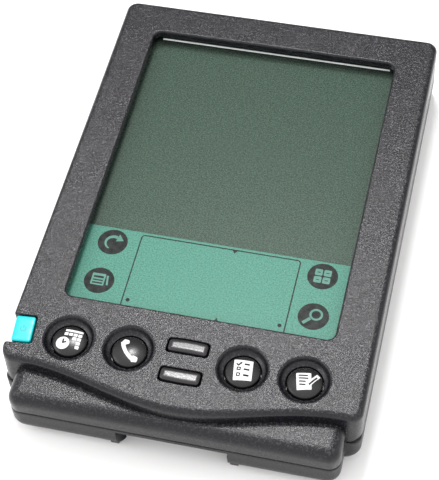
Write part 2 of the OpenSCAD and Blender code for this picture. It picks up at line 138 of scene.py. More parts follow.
class Shape:
    """Collects points and faces in millimetres, then makes one object."""

    def __init__(self):
        self.v, self.f, self.m = [], [], []
        self.slot = 0

    def ring(self, loop, z):
        n = len(self.v)
        self.v += [(p[0], p[1], z[i] if isinstance(z, (list, tuple)) else z) for i, p in enumerate(loop)]
        return list(range(n, n + len(loop)))

    def points(self, pts):
        n = len(self.v)
        self.v += [tuple(p) for p in pts]
        return list(range(n, n + len(pts)))

    def face(self, ids):
        self.f.append(tuple(ids))
        self.m.append(self.slot)

    def loft(self, rings, closed=True):
        for a, b in zip(rings, rings[1:]):
            k = len(a)
            for i in range(k if closed else k - 1):
                j = (i + 1) % k
                self.face((a[i], a[j], b[j], b[i]))

    def fill(self, loops, z, extra=(), up=True):
        pts, tris = plan_mesh(loops, extra)
        at = z if callable(z) else (lambda x, y: z)
        ids = self.points([(x, y, at(x, y)) for x, y in pts])
        for t in tris:
            cx, cy = (sum(pts[i][k] for i in t) / 3 for k in (0, 1))
            if sum(within(cx, cy, loop) for loop in loops) % 2:
                self.face([ids[i] for i in (t if up else reversed(t))])

    def prism(self, loop, z0, z1):
        rings = [self.ring(loop, z0), self.ring(loop, z1)]
        self.loft(rings)
        self.face(rings[0][::-1])
        self.face(rings[1])

    def lathe(self, profile, n=48, at=(0, 0, 0), turn=None):
        """Turns (radius, height) pairs about Z, then places them with an optional 3x3 matrix."""
        rings = []
        for r, h in profile:
            pts = [(r * math.cos(2 * math.pi * i / n), r * math.sin(2 * math.pi * i / n),
                    h) for i in range(n)]
            if turn is not None:
                pts = [tuple(turn @ Vector(p)) for p in pts]
            rings.append(self.points([(p[0] + at[0], p[1] + at[1], p[2] + at[2]) for p in pts]))
        self.loft(rings)
        self.face(rings[0][::-1])
        self.face(rings[-1])

    def stack(self, loops, levels, solid, top=True):
        """Layers between the levels; solid(x, y, z) says what is filled. Without top the last layer has no walls or lid."""
        pts, tris = plan_mesh(loops)
        mid = [tuple(sum(pts[i][k] for i in t) / 3 for k in (0, 1)) for t in tris]
        full = [[solid(x, y, (a + b) / 2) for x, y in mid] for a, b in zip(levels, levels[1:])]
        ids = {}

        def at(i, k):
            if (i, k) not in ids:
                ids[i, k] = self.points([(pts[i][0], pts[i][1], levels[k])])[0]
            return ids[i, k]

        for k, member in enumerate(full):
            if k < len(full) - 1 or top:
                edges = {}
                for t, ok in zip(tris, member):
                    if ok:
                        for a, b in zip(t, t[1:] + t[:1]):
                            edges[a, b] = 1
                for a, b in edges:
                    if (b, a) not in edges:
                        self.face((at(a, k), at(b, k), at(b, k + 1), at(a, k + 1)))
        for k in range(len(levels)):
            below = full[k - 1] if k > 0 else [False] * len(tris)
            above = full[k] if k < len(full) else [False] * len(tris)
            if k == len(full) and not top:
                continue
            for t, lo, hi in zip(tris, below, above):
                if lo != hi:
                    self.face([at(i, k) for i in (t if lo else reversed(t))])

    def coil(self, path, r, n=8):
        """A round wire of radius r along the points."""
        rings = []
        side = None
        for i, p in enumerate(path):
            p = Vector(p)
            d = (Vector(path[min(i + 1, len(path) - 1)]) - Vector(path[max(i - 1, 0)])).normalized()
            if side is None:
                side = d.orthogonal()
            side = (side - d * side.dot(d)).normalized()
            up = d.cross(side)
            rings.append(self.points([p + r * (side * math.cos(a) + up * math.sin(a))
                                      for a in (2 * math.pi * j / n for j in range(n))]))
        self.loft(rings)
        self.face(rings[0][::-1])
        self.face(rings[-1])

    def block(self, low, high, bevel=0.12):
        """Box with a small chamfer on every edge."""
        b = min(bevel, *((high[i] - low[i]) / 3 for i in range(3)))
        rings = [self.ring(rect(low[0] + d, low[1] + d, high[0] - d, high[1] - d), z)
                 for d, z in ((b, low[2]), (0, low[2] + b), (0, high[2] - b), (b, high[2]))]
        self.loft(rings)
        self.face(rings[0][::-1])
        self.face(rings[-1])

    def make(self, name, body, looks, stands_for=(), slot=None, sharp=32, move=None, weighted=True):
        if move:
            self.v = [move(*p) for p in self.v]
        mesh = bpy.data.meshes.new(name)
        bm = bmesh.new()
        vs = [bm.verts.new(p) for p in self.v]
        for f, m in zip(self.f, self.m):
            if len(set(f)) > 2:
                try:
                    bm.faces.new([vs[i] for i in f]).material_index = m
                except ValueError:
                    pass
        bmesh.ops.remove_doubles(bm, verts=bm.verts, dist=1e-4)
        bmesh.ops.delete(bm, geom=[v for v in bm.verts if not v.link_faces], context="VERTS")
        bmesh.ops.recalc_face_normals(bm, faces=bm.faces)
        for v in bm.verts:
            v.co *= MM
        bm.to_mesh(mesh)
        bm.free()
        mesh.shade_smooth()
        mesh.set_sharp_from_angle(angle=math.radians(sharp))
        for look in looks if isinstance(looks, (list, tuple)) else [looks]:
            mesh.materials.append(look)
        obj = bpy.data.objects.new(name, mesh)
        bpy.context.scene.collection.objects.link(obj)
        if weighted:
            w = obj.modifiers.new("normals", "WEIGHTED_NORMAL")
            w.keep_sharp = True
        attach(obj, body)
        for node in [stands_for] if isinstance(stands_for, str) else stands_for:
            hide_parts(node)
        return obj


# ---------------------------------------------------------------- materials
class Look:
    """A node material built up from object-space noise."""

    def __init__(self, name, color, rough, metal=0.0, **sockets):
        self.mat = bpy.data.materials.new(name)
        self.mat.use_nodes = True
        self.tree = self.mat.node_tree
        self.tree.nodes.clear()
        self.out = self.add("ShaderNodeOutputMaterial")
        self.bsdf = self.add("ShaderNodeBsdfPrincipled")
        self.link(self.bsdf.outputs[0], self.out.inputs[0])
        self.bsdf.inputs["Base Color"].default_value = (*color, 1)
        self.bsdf.inputs["Roughness"].default_value = rough
        self.bsdf.inputs["Metallic"].default_value = metal
        for k, v in sockets.items():
            self.bsdf.inputs[k.replace("_", " ")].default_value = v
        self.where = self.add("ShaderNodeTexCoord")
        self.place = self.where.outputs["Object"]

    def add(self, kind, **props):
        node = self.tree.nodes.new(kind)
        for k, v in props.items():
            setattr(node, k, v)
        return node

    def link(self, a, b):
        self.tree.links.new(a, b)

    def put(self, socket, value):
        if hasattr(value, "links"):
            self.link(value, socket)
        else:
            socket.default_value = value

    def stretched(self, x, y, z):
        m = self.add("ShaderNodeMapping")
        m.inputs["Scale"].default_value = (x, y, z)
        self.link(self.where.outputs["Object"], m.inputs["Vector"])
        return m.outputs[0]

    def noise(self, scale, detail=2.0, rough=0.5, place=None):
        n = self.add("ShaderNodeTexNoise")
        self.link(place or self.place, n.inputs["Vector"])
        n.inputs["Scale"].default_value = scale
        n.inputs["Detail"].default_value = detail
        n.inputs["Roughness"].default_value = rough
        return n.outputs["Fac"]

    def cells(self, scale):
        n = self.add("ShaderNodeTexVoronoi", feature="F1")
        self.link(self.place, n.inputs["Vector"])
        n.inputs["Scale"].default_value = scale
        return n.outputs["Distance"]

    def span(self, value, a, b, c, d):
        n = self.add("ShaderNodeMapRange")
        for i, v in enumerate((value, a, b, c, d)):
            self.put(n.inputs[i], v)
        return n.outputs[0]

    def math(self, op, a, b=0.0):
        n = self.add("ShaderNodeMath", operation=op)
        self.put(n.inputs[0], a)
        self.put(n.inputs[1], b)
        return n.outputs[0]

    def mix(self, fac, a, b):
        n = self.add("ShaderNodeMix", data_type="RGBA")
        self.put(n.inputs[0], fac)
        for i, c in ((6, a), (7, b)):
            self.put(n.inputs[i], c if hasattr(c, "links") else (*c, 1))
        return n.outputs[2]

    def color(self, value):
        self.link(value, self.bsdf.inputs["Base Color"])

    def rough(self, value):
        self.link(value, self.bsdf.inputs["Roughness"])

    def bump(self, height, distance, strength=1.0):
        n = self.add("ShaderNodeBump")
        self.link(height, n.inputs["Height"])
        n.inputs["Distance"].default_value = distance
        self.put(n.inputs["Strength"], strength)
        self.link(n.outputs[0], self.bsdf.inputs["Normal"])

    def flat_share(self, a=0.80, b=0.97):
        """1 where the surface faces up or down, 0 on the walls."""
        sep = self.add("ShaderNodeSeparateXYZ")
        self.link(self.where.outputs["Normal"], sep.inputs[0])
        return self.span(self.math("ABSOLUTE", sep.outputs[2]), a, b, 0.0, 1.0)

    def axis(self, i):
        sep = self.add("ShaderNodeSeparateXYZ")
        self.link(self.where.outputs["Object"], sep.inputs[0])
        return sep.outputs[i]


def plastic(name, dark, light, rough, grain=2400, depth=0.00009, wall=0.15, mottle=60, shine=0.38):
    """Moulded plastic: spark-eroded grain on the flats, smoother walls, slow colour drift. The light specks in the
    colour are partly grain tone and partly painted glints, fainter on the walls.
    """
    k = Look(name, dark, rough, Specular_IOR_Level=shine)
    fine, broad = k.noise(grain, 3, 0.7), k.noise(mottle, 3)
    share = k.flat_share()
    # light specks: grain tone plus painted glints, weaker on the walls
    grain_and_glint = k.math("MULTIPLY", k.span(fine, 0.5, 0.62, 0, 1), k.span(share, 0, 1, 0.3, 1))
    k.color(k.mix(k.math("MULTIPLY", grain_and_glint, k.span(broad, 0.3, 0.7, 0.8, 1.0)), dark, light))
    k.rough(k.math("ADD", k.span(fine, 0.3, 0.7, rough + 0.08, rough - 0.08),
                   k.span(broad, 0.3, 0.7, -0.03, 0.03)))
    k.bump(fine, depth, k.span(share, 0, 1, wall, 1.0))
    return k.mat


def gloss(name, color, rough, drift=0.12, coat=0.0, fine=900, depth=0.00001):
    """Smooth moulding with a faint flow pattern and hairline unevenness."""
    k = Look(name, color, rough, Coat_Weight=coat, Coat_Roughness=0.08)
    n = k.noise(120, 3)
    k.color(k.mix(k.span(n, 0.3, 0.7, 0, 1), [c * (1 - drift) for c in color],
                  [min(1, c * (1 + drift)) for c in color]))
    k.rough(k.span(k.noise(fine, 2), 0.3, 0.7, rough * 0.8, rough * 1.25))
    k.bump(k.noise(fine, 2), depth)
    return k.mat


def metal(name, color, rough, brush=(30, 900, 900), depth=0.000004):
    k = Look(name, color, rough, 1.0)
    lines = k.noise(3, 4, 0.6, k.stretched(*brush))
    k.color(k.mix(k.span(lines, 0.3, 0.7, 0, 1), [c * 0.82 for c in color],
                  [min(1, c * 1.08) for c in color]))
    k.rough(k.span(lines, 0.3, 0.7, rough * 0.7, rough * 1.3))
    k.bump(lines, depth)
    return k.mat


def circuit(name):
    """Green solder mask with raised tracks and tinned pads."""
    k = Look(name, (0.02, 0.14, 0.07), 0.35, Coat_Weight=0.3, Coat_Roughness=0.15)
    brick = k.add("ShaderNodeTexBrick")
    k.link(k.place, brick.inputs["Vector"])
    brick.inputs["Scale"].default_value = 160
    brick.inputs["Mortar Size"].default_value = 0.03
    brick.inputs["Brick Width"].default_value = 1.7
    brick.inputs["Row Height"].default_value = 0.22
    tracks = brick.outputs["Fac"]
    pads = k.span(k.cells(420), 0.0, 0.16, 1.0, 0.0)
    pads = k.math("GREATER_THAN", pads, 0.35)
    green = k.mix(tracks, (0.018, 0.13, 0.062), (0.03, 0.21, 0.1))
    k.color(k.mix(k.math("MULTIPLY", pads, k.math("GREATER_THAN", k.noise(90, 1), 0.52)), green,
                  (0.62, 0.6, 0.52)))
    k.bump(tracks, 0.00003)
    k.rough(k.span(k.noise(700), 0.3, 0.7, 0.28, 0.42))
    return k.mat


def lcd_look():
    """Grey-green reflective display: fine sparkle over a faint pixel grid."""
    k = Look("lcd", (0.03, 0.05, 0.04), 0.42, Specular_IOR_Level=0.16)
    grain = k.noise(2700, 2, 0.7)
    x, y = k.axis(0), k.axis(1)
    grid = k.math("MAXIMUM", k.math("SINE", k.math("MULTIPLY", x, 2 * math.pi / 0.00036)),
                  k.math("SINE", k.math("MULTIPLY", y, 2 * math.pi / 0.00036)))
    base = k.mix(k.span(grain, 0.4, 0.6, 0, 1), (0.012, 0.03, 0.02), (0.058, 0.1, 0.076))
    k.color(k.mix(k.span(grid, 0.8, 1.0, 0, 0.12), base, (0.01, 0.022, 0.015)))
    k.rough(k.span(k.noise(1500), 0.3, 0.7, 0.36, 0.48))
    k.bump(grain, 0.00003)
    return k.mat


def print_look():
    k = Look("teal_print", (0.07, 0.26, 0.21), 0.5, Specular_IOR_Level=0.12)
    grain = k.noise(2700, 2, 0.7)
    k.color(k.mix(k.span(grain, 0.4, 0.6, 0, 1), (0.06, 0.21, 0.168), (0.105, 0.32, 0.265)))
    k.rough(k.span(k.noise(1200), 0.3, 0.7, 0.42, 0.55))
    k.bump(grain, 0.00001)
    return k.mat


def clear_look():
    """Clear panel with a fine anti-glare surface: it lets light through unbent and adds a soft gloss."""
    k = Look("clear_panel", (1, 1, 1), 0.3)
    film = k.add("ShaderNodeBsdfTransparent")
    film.inputs[0].default_value = (0.93, 0.96, 0.94, 1)
    shine = k.add("ShaderNodeBsdfGlossy")
    shine.inputs["Roughness"].default_value = 0.36
    fres = k.add("ShaderNodeFresnel")
    fres.inputs["IOR"].default_value = 1.17
    bump = k.add("ShaderNodeBump")
    k.link(k.noise(3000, 2), bump.inputs["Height"])
    bump.inputs["Distance"].default_value = 0.00002
    k.link(bump.outputs[0], shine.inputs["Normal"])
    mix = k.add("ShaderNodeMixShader")
    k.link(fres.outputs[0], mix.inputs[0])
    k.link(film.outputs[0], mix.inputs[1])
    k.link(shine.outputs[0], mix.inputs[2])
    k.link(mix.outputs[0], k.out.inputs[0])
    k.tree.nodes.remove(k.bsdf)
    return k.mat


# front case plastic: grain with painted glint specks in its colour
CASE = plastic("charcoal_painted_glint_grain", (0.003, 0.003, 0.005), (0.06, 0.057, 0.064), 0.25)
BACK = plastic("charcoal_back", (0.01, 0.01, 0.012), (0.04, 0.04, 0.044), 0.42)
KEY = plastic("satin_key", (0.011, 0.011, 0.012), (0.016, 0.015, 0.017), 0.27, 3200, 0.000008, 0.6, 60, 0.4)
SCROLL = plastic("satin_bar", (0.016, 0.014, 0.016), (0.022, 0.019, 0.021), 0.25, 3200, 0.000008, 0.6, 60,
                 0.5)
WHITE = gloss("white_ink", (0.7, 0.71, 0.71), 0.45, 0.03)
INK = gloss("dark_ink", (0.002, 0.004, 0.004), 0.8, 0.2)
TEAL_INK = gloss("teal_ink", (0.06, 0.22, 0.175), 0.5, 0.06)
CYAN = gloss("cyan_moulding", (0.003, 0.5, 0.53), 0.35, 0.05, 0.1)
CYAN_DARK = gloss("cyan_shadow", (0.015, 0.34, 0.38), 0.3, 0.1)
STEEL = metal("steel_plate", (0.58, 0.58, 0.56), 0.34)
BRIGHT = metal("nickel_wire", (0.72, 0.71, 0.69), 0.2, (900, 900, 60))
BRASS = metal("brass_disc", (0.72, 0.52, 0.22), 0.3)
GOLD = metal("gold_contact", (0.85, 0.62, 0.25), 0.22)
BOARD = circuit("solder_mask")
CHIP = plastic("epoxy", (0.012, 0.012, 0.013), (0.022, 0.022, 0.023), 0.5, 3000, 0.000015, 0.8)
CREAM = gloss("cream_socket", (0.66, 0.6, 0.46), 0.45, 0.06)
FLEX = gloss("amber_film", (0.42, 0.16, 0.03), 0.25, 0.2, 0.3)
FOAM = plastic("black_foam", (0.008, 0.008, 0.008), (0.03, 0.03, 0.03), 0.9, 1800, 0.0001, 1.0)
RUBBER = gloss("grey_silicone", (0.36, 0.36, 0.34), 0.6, 0.08)
SLEEVE = gloss("blue_sleeve", (0.02, 0.04, 0.2), 0.3, 0.15, 0.3)
CELL = gloss("cell_wrap", (0.03, 0.03, 0.036), 0.28, 0.2, 0.5)
CELL_BAND = gloss("cell_band", (0.45, 0.28, 0.06), 0.3, 0.1, 0.5)
TIP = gloss("hard_black", (0.01, 0.01, 0.01), 0.25, 0.2)
# pale colour for the glass edge: a painted highlight
EDGE_HIGHLIGHT_PAINT = gloss("painted_edge_highlight", (0.55, 0.58, 0.57), 0.3, 0.05)
LCD, TEAL, CLEAR = lcd_look(), print_look(), clear_look()


# ---------------------------------------------------------------- front shell
def step_y(x):
    return END + 5.55 - 2.85 * math.cos(math.pi * x / STEP_HALF)


def split_x(loop, x, y0, y1):
    """Adds a point where the loop crosses a given x between two heights."""
    out = []
    for i, a in enumerate(loop):
        b = loop[(i + 1) % len(loop)]
        out.append(a)
        if (a[0] - x) * (b[0] - x) < 0:
            y = a[1] + (b[1] - a[1]) * (x - a[0]) / (b[0] - a[0])
            if y0 < y < y1:
                out.append((x, y))
    return out


def power_corner(lx, ly):
    c, s = math.cos(POWER_TURN), math.sin(POWER_TURN)
    return POWER_AT[0] + lx * c - ly * s, POWER_AT[1] + lx * s + ly * c


def case_outline(notch):
    bottom = [(-STEP_HALF + 2 * STEP_HALF * i / 72, 0) for i in range(73)]
    bottom = [(x, step_y(x), 0) for x, _ in bottom]
    left = [(-SIDE, 38.5, 0), (-SIDE, 25.5, 0)]
    if notch:
        left += [(-SIDE, -40.07, 0.5), (*power_corner(2.55, 3.6), 0.7), (*power_corner(2.55, -3.6), 0.7),
                 (-SIDE, -47.3, 0.8)]
    loop = rounded([(SIDE, BODY_END, 2.8), (SIDE, TOP, 2.8), (-SIDE, TOP, 2.8), *left, (-SIDE, BODY_END, 2.8),
                    *bottom])
    return split_x(loop, -39.05, -48, -39) if notch else loop


def scroll_plan(i, grow, lift=0.2):
    """A scroll button's plan: the outer long edge is slightly arched."""
    w, h = 4.45 + grow, 1.5 + grow
    out = (1 if i == 0 else -1)
    q = max(0.06, min(0.75, 0.75 + grow))
    pts = rounded([(-w, -h, q), (w, -h, q), (w, h, q), (-w, h, q)])
    n = 10
    edge = [(w - 0.9 - (2 * w - 1.8) * k / n, h) for k in range(1, n)]
    top = [i for i, p in enumerate(pts) if abs(p[1] - h) < 1e-9 and p[0] > 0][-1]
    pts = pts[:top + 1] + edge + pts[top + 1:]
    low = [i for i, p in enumerate(pts) if abs(p[1] + h) < 1e-9 and p[0] < 0][-1]
    pts = pts[:low + 1] + [(-x, -y) for x, y in edge] + pts[low + 1:] if low + 1 <= len(pts) else pts
    pts = [(x, y + (lift * (1 - (x / w) ** 2) if y * out > h * 0.3 else 0) * out) for x, y in pts]
    return [(x, y + SCROLL_Y[i]) for x, y in pts]


out_plain, out_notch = case_outline(False), case_outline(True)
screen_loop = rect(*SCREEN, 2.0)
hole_loops = [circle(x, ROUND_Y, 4.25) for x in ROUND_X]
slot_loops = [scroll_plan(i, 0.3) for i in (0, 1)]
scoop = rect(-42, 25.5, -39.75, 38.5)
dial_gap = rect(-40.2, 26.6, -38.5, 37.4)
room = rect(-39.05, -50.7, 39.05, 58.1, 1.2)
roof = rect(-39.05, -35.4, 39.05, 58.1, 1.2)
pocket = rect(-11.2, -53.4, 11.2, -50.2)      # room for the raised port door
bosses = [circle(x, y, 1.9, 24) for x, y in SCREWS]
bores = [circle(x, y, 1.0, 16) for x, y in SCREWS]


def front_solid(x, y, z):
    if not within(x, y, out_notch if z > 11.5 else out_plain):
        return False
    if any(within(x, y, b) for b in bosses):
        return not (z < 13.5 and any(within(x, y, b) for b in bores)) or z > 15.4
    if z < 11.0 and within(x, y, scoop) or z < 9.8 and within(x, y, dial_gap):
        return False
    if z < POCKET_TOP and within(x, y, pocket) or within(x, y, room if z < 13.5 else roof) and z < 15.4:
        return False
    if z > 15.4 and within(x, y, screen_loop):
        return False
    return not (z > 13.5 and any(within(x, y, h) for h in hole_loops + slot_loops))


def lean(x, y, z):
    """The lower end wall slopes out a little towards the parting line."""
    if z >= 16.3 or y > -48.5:
        return x, y, z
    return x, y - 0.1 * (16.3 - z) * min(1, (-48.5 - y) / 2.8), z


front = Shape()
front.stack([out_plain, out_notch, screen_loop, *hole_loops, *slot_loops, scoop, dial_gap, room, roof, pocket,
             *bosses, *bores],
            [GAP_HIGH, GAP_HIGH + 0.2, 9.8, 11.0, 11.5, 13.5, 15.4, FACE], front_solid, top=False)


def near_notch(x, y):
    return -48.2 < y < -39.2 and x < -34


def rim(shape, loop, z0, z1, r, out, steps=6):
    """Rounds a loop's wall into the face; r is a number or one for each point. Returns the loop on the face."""
    rs = list(r) if isinstance(r, (list, tuple)) else [r] * len(loop)
    rings = [shape.ring(loop, z0)]
    for k in range(steps + 1):
        a = math.pi / 2 * k / steps
        rings.append(shape.ring(grown(loop, [out * q * (1 - math.cos(a)) for q in rs]),
                                [z1 - q + q * math.sin(a) for q in rs]))
    last = grown(loop, [out * (q + 0.12) for q in rs])
    rings.append(shape.ring(last, z1))
    shape.loft(rings)
    return last


edge_r = []
for px, py in out_notch:
    away = min(math.hypot(px + SIDE, py + 40.07), math.hypot(px + SIDE, py + 47.3))
    edge_r.append(0.28 if near_notch(px, py) and px > -SIDE + 0.3 else min(1.4, 0.3 + 0.35 * away))
face_loops = [rim(front, out_notch, 15.4, FACE, edge_r, -1), rim(front, screen_loop, 15.4, FACE, 0.55, 1)]
for hole in hole_loops:
    cx = sum(p[0] for p in hole) / len(hole)
    profile = ((4.25, 15.4), (4.25, 15.5), (4.29, 15.6), (4.38, 15.66), (4.6, 15.75), (4.85, 15.9),
               (5.1, 16.12),
               (5.28, 16.42), (5.42, 16.72), (5.55, 16.98), (5.72, 17.17), (5.95, 17.27), (6.15, 17.3),
               (6.3, 17.3))
    front.loft([front.ring(circle(cx, ROUND_Y, r), z) for r, z in profile])
    face_loops.append(circle(cx, ROUND_Y, 6.3))
for slot_loop in slot_loops:
    face_loops.append(rim(front, slot_loop, 15.4, FACE, 0.25, 1, 4))
front.fill(face_loops, FACE)
front.make("front_shell", "root", CASE, "front_case", "case_plastic", move=lean)

# lower lip: a rounded shelf in front of the curved wall
lip = Shape()
path = [p for p in rounded([(LIP_HALF, -51.0, 0), (-LIP_HALF, -51.0, 0), (-LIP_HALF, END, 2.8),
                            (LIP_HALF, END, 2.8)], 8)]
path = path[1:] + path[:1]
shelf = []
for inset, z in ((0.32, GAP_HIGH), (0.09, GAP_HIGH + 0.1), (0.0, GAP_HIGH + 0.3), (0.0, 10.6), (0.03, 11.4),
                 (0.14, 12.0), (0.36, 12.55),
                 (0.7, 13.05), (1.12, 13.42), (1.6, 13.68), (2.1, 13.83), (2.6, LIP_TOP), (2.75, LIP_TOP)):
    ringed = grown(path, -inset)
    ringed = [(px, -51.0 if abs(qy + 51.0) < 1e-6 else py) for (px, py), (_, qy) in zip(ringed, path)]
    shelf.append(lip.ring(ringed, z))
lip.loft(shelf, closed=False)
lip_pocket = rect(-11.2, -53.4, 11.2, -51.2)
lip.fill([[lip.v[i][:2] for i in shelf[0]], lip_pocket], GAP_HIGH, up=False)
lip.loft([lip.ring(lip_pocket, POCKET_TOP), lip.ring(lip_pocket, GAP_HIGH)])
lip.fill([lip_pocket], POCKET_TOP, up=False)
lip.face(shelf[-1])
lip.face([s[0] for s in shelf] + [s[-1] for s in reversed(shelf)])
lip.make("front_lip", "root", CASE, "front_case", "case_plastic", sharp=50)

# ---------------------------------------------------------------- back shell
back_outline = rounded([(-LIP_HALF, END, 2.8), (LIP_HALF, END, 2.8), (LIP_HALF, -52.35, 0.3),
                        (SIDE, -52.35, 2.4),
                        (SIDE, TOP, 2.8), (-SIDE, TOP, 2.8), (-SIDE, 38.5, 0), (-SIDE, 25.5, 0),
                        (-SIDE, -52.35, 2.4), (-LIP_HALF, -52.35, 0.3)])
P = {
    "battery_seat": rect(-27.7, -38.0, 27.7, -11.2, 1.2), "battery_room": rect(-26.2, -36.15, 26.2, -13.05),
    "battery_box": rect(-27.1, -37.05, 27.1, -12.15), "memory_seat": rect(-24.2, 9.8, 24.2, 52.2, 1.2),
    "memory_gap": rect(-22.6, 11.4, 22.6, 50.6, 1.0), "low_room": rect(-36.2, -49.5, 32.6, 56.0, 1.0),
    "port_room": rect(-33.0, -53.1, 32.6, -49.0), "high_room": rect(-38.45, -50.2, 38.45, 58.1, 1.2),
    "tube": rect(32.9, -41.7, 41.0, 60.5), "bore": rect(33.92, -40.5, 38.68, 60.4),
    "thumb": rect(33.3, 54.2, 38.7, 60.6, 0.0),
    "recess": rect(-12.7, -60.7, 12.7, -54.7), "port_hole": rect(-10, -54.8, 10, -53.0),
    "scoop": scoop, "dial_gap": dial_gap, "battery_nail": circle(0, -9.2, 3, 32),
    "memory_nail": circle(0, 7.8, 3, 32),
    "reset": circle(-30, 2, 1.1, 24), "reset_post": circle(-30, 2, 2.4, 24),
    "dial_post": circle(*DIAL, 3, 32),
}
posts = [circle(x, y, 2.6, 24) for x, y in SCREWS]
wells = [circle(x, y, 2.1, 24) for x, y in SCREWS]
shafts = [circle(x, y, 1.15, 16) for x, y in SCREWS]


def back_solid(x, y, z):
    def at(name):
        return within(x, y, P[name])

    if z > GAP_LOW:
        return at("battery_box") and not (at("battery_room") and z < 11.95)
    if not within(x, y, back_outline):
        return False
    if z < 1.3 and (at("battery_seat") or at("memory_seat")) or z < 0.7 and (at("battery_nail") or at("memory_nail")):
        return False
    if at("battery_room") or z < 7.35 and at("recess") or 2.2 < z < 6.5 and at("port_hole"):
        return False
    if z < 2.9 and at("thumb") or 1.92 < z < 6.68 and at("bore"):
        return False
    if z > 5.8 and at("scoop") or z > 7.0 and at("dial_gap") or at("reset"):
        return False
    if any(within(x, y, w) for w in (wells if z < 3 else shafts)):
        return False
    if at("battery_box") or any(within(x, y, q) for q in posts):
        return True
    if at("memory_gap"):
        return False
    if z < 7.35 and at("tube") or z < 4.6 and at("dial_post") or z < 2.4 and at("reset_post"):
        return True
    if z > 1.8 and (at("low_room") or at("port_room")):
        return False
    return not (z > 4.2 and at("high_room"))


TAPER = ((0, 3.4), (0.25, 2.7), (0.7, 1.95), (1.3, 1.25), (1.8, 0.88), (1.92, 0.8), (2.2, 0.62), (2.4, 0.5),
         (2.9, 0.27),
         (3.4, 0.12), (4.2, 0.0), (7.95, 0.0), (8.15, 0.1), (GAP_LOW, 0.32))
hull_edges = list(zip(back_outline, back_outline[1:] + back_outline[:1]))


def taper(x, y, z):
    """Draws the outer wall in below the straight band, and breaks the parting edge."""
    if z > GAP_LOW + 0.01:
        return x, y, z
    for (x0, y0), (x1, y1) in hull_edges:
        dx, dy = x1 - x0, y1 - y0
        t = ((x - x0) * dx + (y - y0) * dy) / (dx * dx + dy * dy)
        if -1e-6 <= t <= 1 + 1e-6 and abs((x - x0) * dy - (y - y0) * dx) < 1e-4 * math.hypot(dx, dy):
            break
    else:
        return x, y, z
    for (za, da), (zb, db) in zip(TAPER, TAPER[1:]):
        if za <= z <= zb:
            d = da + (db - da) * (z - za) / (zb - za)
            break
    if y < -52.3 - 1e-4 or abs(y + 52.35) < 0.31 and abs(x) <= LIP_HALF + 0.01:
        share = min(1.0, max(0.0, (-52.35 - y) / 4))
        return x * (LIP_HALF - d) / LIP_HALF, y + d * (0.24 + 0.7 * share), z
    if y < -45:
        low = min(1.0, (-45 - y) / 7.35)
        return x * (SIDE - d) / SIDE, y + 0.24 * d * low, z
    high = 0.53 if y > 50 else 0.0
    return x * (SIDE - d) / SIDE, y - d * high * min(1.0, (y - 50) / 9.7) if y > 50 else y, z


back = Shape()
back.stack([back_outline, *P.values(), *posts, *wells, *shafts],
           sorted({0, 0.25, 0.7, 1.3, 1.8, 1.92, 2.2, 2.4, 2.9, 3.0, 3.4, 4.2, 4.6, 5.8, 6.5, 6.68, 7.0, 7.35,
                   7.95, 8.15,
                   GAP_LOW, 11.95, 12.55}), back_solid)
back.make("back_shell", "root", BACK, "back_case", "case_plastic", move=taper)

# two docking ribs and the mouth of the stylus bore
ribs = Shape()
for s in (-1, 1):
    x0, x1 = sorted((s * 12.7, s * 14.7))
    rings = []
    for z, front_y, b in ((0.0, -58.4, 0.15), (0.15, -58.52, 0), (1.2, -58.65, 0), (6.8, -59.5, 0),
                          (8.0, -59.6, 0), (8.1, -59.5, 0.1)):
        rings.append(ribs.ring(rect(x0 + b, front_y, x1 - b, -52.7, 0.25), z))
    ribs.loft(rings)
    ribs.face(rings[0][::-1])
    ribs.face(rings[-1])
ribs.make("dock_ribs", "root", BACK, "back_case", "case_plastic")

mouth = Shape()
arc = [(STYLUS_X + 2.38 * math.cos(a), STYLUS_Z + 2.38 * math.sin(a))
       for a in (math.radians(-36 + 252 * i / 40) for i in range(41))]
section = [(33.95, 2.95), (arc[-1][0], 2.95), *reversed(arc[1:-1]), (arc[0][0], 2.95), (38.65, 2.95),
           (38.65, 6.65), (33.95, 6.65)]
ends = [mouth.points([(x, y, z) for x, z in section]) for y in (55.5, 59.45)]
mouth.loft(ends)
pts2, tris2 = plan_mesh([section])
for y in (55.5, 59.45):
    ids = mouth.points([(x, y, z) for x, z in pts2])
    for t in tris2:
        if within(*(sum(pts2[i][k] for i in t) / 3 for k in (0, 1)), section):
            mouth.face([ids[i] for i in t])
mouth.make("stylus_mouth", "root", BACK, "back_case", "case_plastic")

# ---------------------------------------------------------------- screen
writing = Shape()
writing.block((-32.7, -34.2, SHEET_TOP - 1.0), (32.7, -10.1, SHEET_TOP), 0.05)
writing.make("writing_sheet", "root", TEAL, "writing_panel", "writing_print")
# glass edge along the top of the screen opening only, coloured pale as a painted highlight where the light catches it
edge_glint_bar = Shape()
edge_glint_bar.block((-29.2, 49.72, 14.78), (29.9, 50.22, 14.9), 0.05)
edge_glint_bar.make("glass_rim_painted_highlight", "root", EDGE_HIGHLIGHT_PAINT, slot="touch_glass")


def dense(loop, step):
    out = []
    for i, (x, y) in enumerate(loop):
        qx, qy = loop[(i + 1) % len(loop)]
        k = max(1, math.ceil(math.hypot(qx - x, qy - y) / step))
        out += [(x + (qx - x) * j / k, y + (qy - y) * j / k) for j in range(k)]
    return out


def mark(shape, loops, surf=lambda x, y: 0.0, lift=0.02, step=0.45):
    """A thin printed patch that follows a surface; the first loop is its edge and the rest are holes."""
    loops = [dense(loop, step) for loop in loops]
    xs, ys = [p[0] for p in loops[0]], [p[1] for p in loops[0]]
    grid = []
    if step < 1:
        grid = [(min(xs) + step * i + 0.1, min(ys) + step * j + 0.07)
                for i in range(int((max(xs) - min(xs)) / step)) for j in range(int((max(ys) - min(ys)) / step))]
    shape.fill(loops, lambda x, y: surf(x, y) + lift, grid)
    shape.fill(loops, lambda x, y: surf(x, y) - 0.03, grid, up=False)
    for loop in loops:
        shape.loft([shape.ring(loop, [surf(*p) - 0.03 for p in loop]),
                    shape.ring(loop, [surf(*p) + lift for p in loop])])


